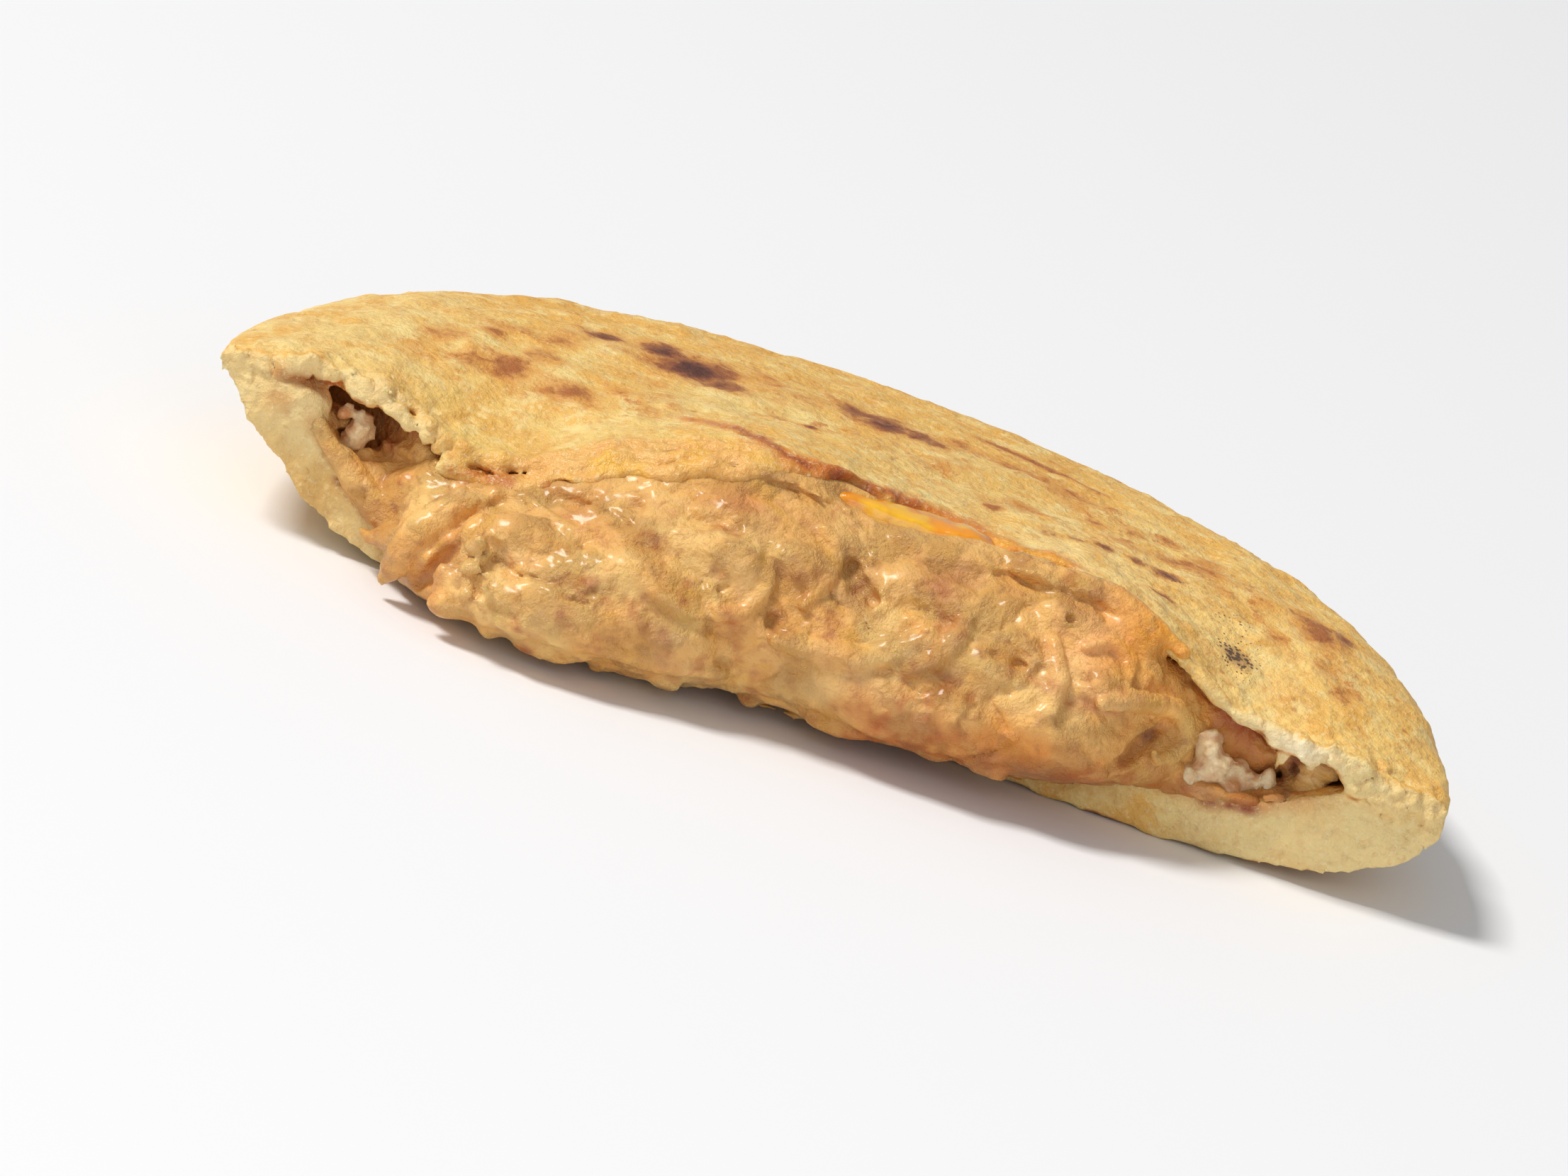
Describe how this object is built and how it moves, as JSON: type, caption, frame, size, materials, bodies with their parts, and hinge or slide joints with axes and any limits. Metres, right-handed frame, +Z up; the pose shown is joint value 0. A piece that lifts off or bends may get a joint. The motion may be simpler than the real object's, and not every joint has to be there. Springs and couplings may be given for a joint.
{
  "type": "torn half of a pupusa",
  "caption": "Half of a round stuffed corn cake, torn across the middle and lying flat, with its bean and cheese filling bulging from the tear.",
  "frame": {"origin": "on the surface the half lies on, under the middle of its box", "axes": "+X along the torn side, to the right for someone who faces the tear; -Y out of the tear; +Z up"},
  "size_m": [0.1306, 0.084, 0.0242],
  "materials": {
    "dough": "griddled corn dough, pale yellow with brown spots",
    "filling": "moist mash of beans and melted cheese"
  },
  "bodies": {
    "root": {"dough": "dough", "filling": "filling"}
  },
  "joints": []
}
